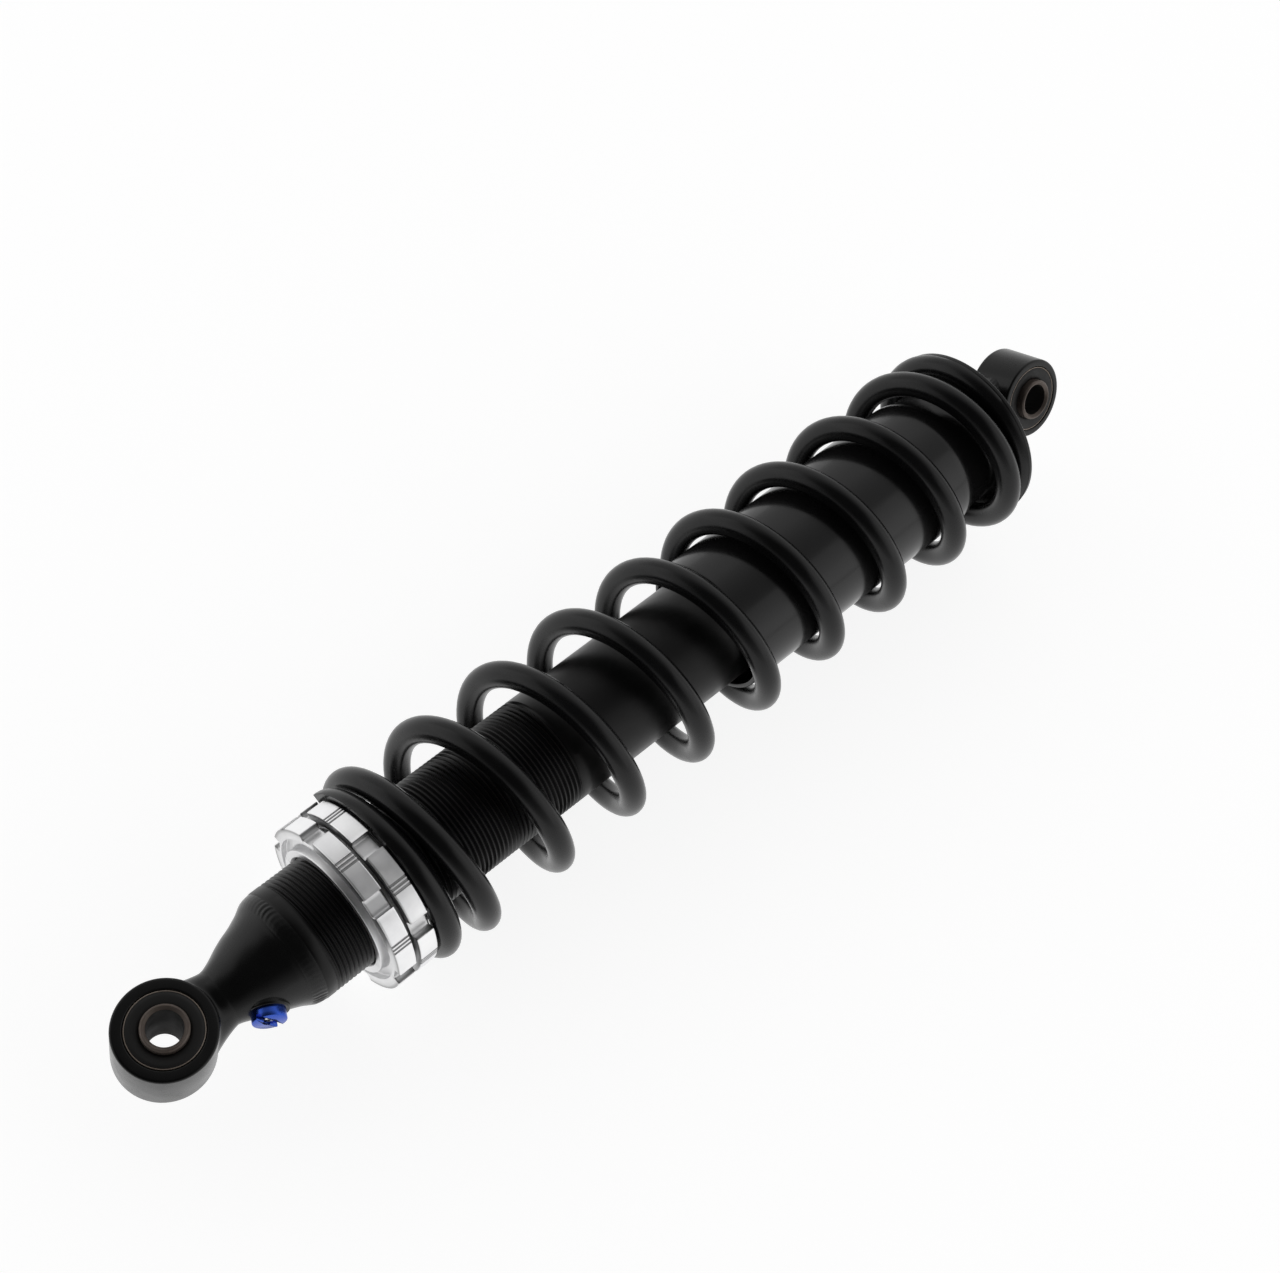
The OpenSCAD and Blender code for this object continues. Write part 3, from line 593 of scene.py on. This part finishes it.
def collar(name, start, turn):
    """a castellated ring: hub, recess, rim with notches, and the face toward the spring"""
    rim = collar_outline(turn)
    normal = loop_normals(rim)
    if np.sum(normal * rim) < 0:
        normal = -normal
    unit = rim / np.linalg.norm(rim, axis=1)[:, None]

    def round_row(radius, at):
        return np.column_stack([np.full(len(rim), start + at), unit * radius])

    def rim_row(inset, at):
        return np.column_stack([np.full(len(rim), start + at), rim - normal * inset])

    rows = []
    for r, t in rounded([(COLLAR_BORE_R, 0.8, 0.1), (18.7, 0.0, 0.15), (20.8, 0.0, 0.25),
                         (COLLAR_HUB_R, 3.2, 0.5), (COLLAR_RIM_R, 3.2, 0.5),
                         (COLLAR_RIM_R, RIM_LOW, 0.15)], 4):
        rows.append(round_row(r, t))
    for inset, t in ((0.3, RIM_LOW), (0.16, 1.29), (0.05, 1.39), (0.0, 1.55), (0.0, 1.85),
                     (0.0, 6.8), (0.0, 6.95), (0.05, 7.11), (0.16, 7.21), (0.3, RIM_HIGH)):
        rows.append(rim_row(inset, t))
    for r, t in rounded([(24.3, RIM_HIGH, 0.0), (24.3, COLLAR_LEN, 0.1),
                         (18.7, COLLAR_LEN, 0.15), (COLLAR_BORE_R, 7.0, 0.1)], 3):
        rows.append(round_row(r, t))
    return add_grid(name, rows, COLLAR, 32)


lock = collar("lock_ring", SEAT - 2 * COLLAR_LEN, math.radians(25.2))
stands_for(lock, "lock_ring", "collar_aluminium", "lock_collar")
preload = collar("preload_ring", SEAT - COLLAR_LEN, math.radians(-6.1))
stands_for(preload, "preload_ring", "collar_aluminium", "preload_collar")


# ---------------------------------------------------------------- spring

def step01(u):
    """a smooth step from 0 to 1"""
    u = np.clip(u, 0, 1)
    return u * u * (3 - 2 * u)


def step_sum(u):
    """the running sum of the smooth step"""
    inside = np.clip(u, 0, 1)
    return inside ** 3 * (1 - inside / 2) + np.maximum(u - 1, 0)


def spring_rows():
    """sections of the wire along the coil, pressed flat on its two ground ends"""
    per_turn, sides = 72, 28
    low_ramp, high_ramp, width_ramp = 0.3, 0.66, 0.66
    up, down = 1.03, TURNS - 1.47
    widen, narrow = 0.3, TURNS - 0.9
    first, last = SEAT + 0.9, RETAINER + 1.9
    gain = ((last - first - 2 * WIRE_R * TURNS)
            / (down + high_ramp / 2 - up - low_ramp / 2))
    s = np.linspace(0, TURNS, int(TURNS * per_turn) + 1)
    opened = (low_ramp * step_sum((s - up) / low_ramp)
              - high_ramp * step_sum((s - down) / high_ramp))
    middle = first + 2 * WIRE_R * s + gain * opened
    mean = END_R + (OPEN_R - END_R) * (step01((s - widen) / width_ramp)
                                       - step01((s - narrow) / width_ramp))
    angle = TIP_TURN + TAU * s
    slope = np.gradient(middle, s) / (TAU * mean)
    lean = np.arctan(slope)
    b = circle(sides)
    path = about_x(mean, middle, angle)
    outward = about_x(np.ones_like(s), np.zeros_like(s), angle)
    sideways = np.stack([np.zeros_like(s), -np.cos(angle), -np.sin(angle)], -1)
    lift = (np.cos(lean)[:, None] * np.array([1.0, 0, 0]) - np.sin(lean)[:, None] * sideways)
    rows = (path[:, None, :] + WIRE_R * (np.cos(b)[None, :, None] * outward[:, None, :]
                                         + np.sin(b)[None, :, None] * lift[:, None, :]))
    low_edge = SEAT + 0.02
    high_edge = RETAINER - 0.02
    # the lower tip is ground thin and thickens along its turn
    tip, growth = 2.6, 28
    tip_top = np.where(s < 1, low_edge + tip + growth * s, high_edge)
    rows[..., 0] = np.clip(rows[..., 0], low_edge, np.minimum(high_edge, tip_top)[:, None])
    return rows


spring = add_grid("wound_spring", spring_rows(), SPRING, 35, wrap_rows=False)
stands_for(spring, "spring", "spring_black", "coil_spring")
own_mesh(spring)


# ---------------------------------------------------------------- guide tube and retainer

guide_inner_r = GUIDE_R - GUIDE_WALL
guide = lathe("guide_sleeve", rounded([
    (guide_inner_r, GUIDE_START, 0.4), (GUIDE_R, GUIDE_START, 0.6), (GUIDE_R, 302.0, 3.0),
    (GUIDE_NECK_R, 307.0, 3.0), (GUIDE_NECK_R, RETAINER, 0.1),
    (GUIDE_NECK_INNER_R, RETAINER, 0.1), (GUIDE_NECK_INNER_R, 306.3, 2.5),
    (guide_inner_r, 301.3, 2.5)], 8), GUIDE)
stands_for(guide, "rod_assembly", "guide_plastic", "guide_tube")
plate = lathe("retainer_plate", rounded([
    (6.0, RETAINER, 0.0), (RETAINER_R, RETAINER, 0.7), (RETAINER_R, RETAINER_END, 0.7),
    (11.5, RETAINER_END, 0.3), (10.2, RETAINER_END, 0.0), (6.0, RETAINER_END, 0.0)], 5), PAINT)
spigot = lathe("retainer_spigot", rounded([
    (SPIGOT_INNER_R, RETAINER - 3.0, 0.4), (SPIGOT_R, RETAINER - 3.0, 0.4),
    (SPIGOT_R, RETAINER + 0.1, 0.0), (SPIGOT_INNER_R, RETAINER + 0.1, 0.0)], 4), PAINT)
for piece in (plate, spigot):
    stands_for(piece, "rod_assembly", "black_paint", "spring_retainer")


# ---------------------------------------------------------------- charge port

# heights here count from the shock's axis along the port's own
AT_PORT = (Matrix.Translation((PORT_PLACE * MM, 0, 0)) @ Matrix.Rotation(PORT_TURN, 4, "X")
           @ Matrix.Rotation(PORT_TILT, 4, "Y"))
port_boss = lathe_z("port_boss", rounded([
    (PLUG_R, 7.0, 0.0), (PLUG_R + 1.3, 7.0, 0.0), (PLUG_R + 1.3, 13.4, 0.8),
    (PLUG_R, 13.4, 0.2)], 5), PAINT)
moved(port_boss, AT_PORT)
stands_for(port_boss, "damper_body", "black_paint")


def slotted_disc(name, radius, hole, slot_half, low, high, slot_low, material, turn):
    """a round plug with a hole and a screwdriver slot, made of a base and two half rings"""
    pieces = [lathe_z(name + "_base", rounded([
        (hole, low, 0.0), (radius, low, 0.3), (radius, slot_low, 0.0), (hole, slot_low, 0.0)],
        3), material, 96)]
    arc = np.linspace(-1, 1, 41)
    outer_angle = math.acos(slot_half / radius) * arc
    inner_angle = math.acos(min(1.0, slot_half / hole)) * arc
    for way in (1, -1):
        outer = [(radius * math.sin(a), way * radius * math.cos(a)) for a in outer_angle]
        inner = [(hole * math.sin(a), way * max(hole * math.cos(a), slot_half))
                 for a in inner_angle]
        if hole < slot_half:
            inner = inner[:1]
        loop = np.array(outer + inner[::-1])
        rim = slice(len(outer))
        normal = loop_normals(loop)
        middle = loop[rim].mean(0) * 0.8
        if np.sum(normal[rim] * (loop[rim] - middle)) < 0:
            normal = -normal
        layers = ((0.0, slot_low - 0.05), (0.0, high - 0.3), (0.1, high - 0.1), (0.28, high))
        width = len(loop)
        top = (len(layers) - 1) * width
        points = np.concatenate([np.column_stack([loop - normal * inset, np.full(width, z)])
                                 for inset, z in layers])
        faces = grid_faces(len(layers), width, wrap_rows=False)
        faces.append(tuple(range(top, top + width)))
        faces.append(tuple(reversed(range(width))))
        pieces.append(add_mesh(name + "_half", points, faces, material, 35))
    for piece in pieces:
        moved(piece, AT_PORT @ Matrix.Rotation(turn, 4, "Z"))
    return pieces


for piece in slotted_disc("port_plug", PLUG_R, PLUG_SCREW_R, 0.8, 6.7, 16.2, 14.92, BLUE,
                          math.radians(-55)):
    stands_for(piece, "damper_body", "blue_anodised", "charge_port_plug")
for piece in slotted_disc("port_screw", PLUG_SCREW_R - 0.04, 0.05, 0.3, 12.0, 15.6, 14.8, STEEL,
                          math.radians(20)):
    stands_for(piece, "damper_body", "bright_steel", "charge_port_screw")


# ---------------------------------------------------------------- floor, lights and camera

# the middle of the shock, and the camera's axes and place in the part's frame
CENTRE = Vector((0.175, 0, 0))
RIGHT = Vector((0.72002, -0.66670, 0.19256))
UP = Vector((0.54151, 0.71331, 0.44492))
VIEW = Vector((0.43398, 0.21608, -0.87462))
CAMERA_PLACE = (-0.10844, -0.13626, 0.59277)
LENS, SENSOR = 62.70, 36
FLOOR_Z = -31.5 * MM
FLOOR_TONE, FLOOR_GLOW = 0.3, 0.86
bpy.ops.mesh.primitive_plane_add(size=12, location=(0.15, 0, FLOOR_Z))
floor = bpy.context.object
floor.name = "floor"
floor_material, tree, shader = new_material("floor_white")
shader.inputs["Base Color"].default_value = (FLOOR_TONE, FLOOR_TONE, FLOOR_TONE, 1)
shader.inputs["Roughness"].default_value = 0.6
shader.inputs["Specular IOR Level"].default_value = 0.1
shader.inputs["Emission Color"].default_value = (1, 1, 1, 1)
shader.inputs["Emission Strength"].default_value = FLOOR_GLOW
floor.data.materials.append(floor_material)


def area_light(name, location, size, watts):
    """a rectangular light that faces the middle of the shock"""
    light = bpy.data.lights.new(name, "AREA")
    light.shape = "RECTANGLE"
    light.size, light.size_y = size
    light.energy = watts
    obj = bpy.data.objects.new(name, light)
    obj.location = location
    obj.rotation_mode = "QUATERNION"
    obj.rotation_quaternion = (CENTRE - location).to_track_quat("-Z", "Y")
    scene.collection.objects.link(obj)


area_light("left_light", CENTRE - 1.3 * RIGHT + 0.5 * UP - 0.5 * VIEW, (1.6, 1.3), 2.4)
area_light("right_light", CENTRE + 1.3 * RIGHT - 0.1 * UP - 0.5 * VIEW, (1.2, 1.2), 1.5)

# a room that is dark behind the camera's back and bright elsewhere, on a white backdrop
world = bpy.data.worlds.new("studio")
scene.world = world
world.use_nodes = True
tree = world.node_tree
background = tree.nodes["Background"]
output = tree.nodes["World Output"]
direction = tree.nodes.new("ShaderNodeTexCoord")
toward = tree.nodes.new("ShaderNodeVectorMath")
toward.operation = "DOT_PRODUCT"
toward.inputs[1].default_value = tuple(-VIEW)
tree.links.new(direction.outputs["Generated"], toward.inputs[0])
tone = spread(tree, toward.outputs["Value"], 0.82, 0.06, 0.28, 0.82)
tree.links.new(tone, background.inputs["Strength"])
background.inputs["Color"].default_value = (1, 1, 1, 1)
white = tree.nodes.new("ShaderNodeBackground")
white.inputs["Color"].default_value = (1, 1, 1, 1)
white.inputs["Strength"].default_value = 1.0
path = tree.nodes.new("ShaderNodeLightPath")
mix = tree.nodes.new("ShaderNodeMixShader")
tree.links.new(path.outputs["Is Camera Ray"], mix.inputs["Fac"])
tree.links.new(background.outputs["Background"], mix.inputs[1])
tree.links.new(white.outputs["Background"], mix.inputs[2])
tree.links.new(mix.outputs["Shader"], output.inputs["Surface"])

camera_data = bpy.data.cameras.new("camera")
camera_data.sensor_width = SENSOR
camera_data.lens = LENS
camera_data.clip_start = 0.01
camera = bpy.data.objects.new("camera", camera_data)
scene.collection.objects.link(camera)
turn = Matrix((RIGHT, UP, -VIEW)).transposed()
camera.matrix_world = Matrix.Translation(CAMERA_PLACE) @ turn.to_4x4()
scene.camera = camera
scene.render.resolution_x = 1280
scene.render.resolution_y = 1273
scene.view_settings.view_transform = "Standard"
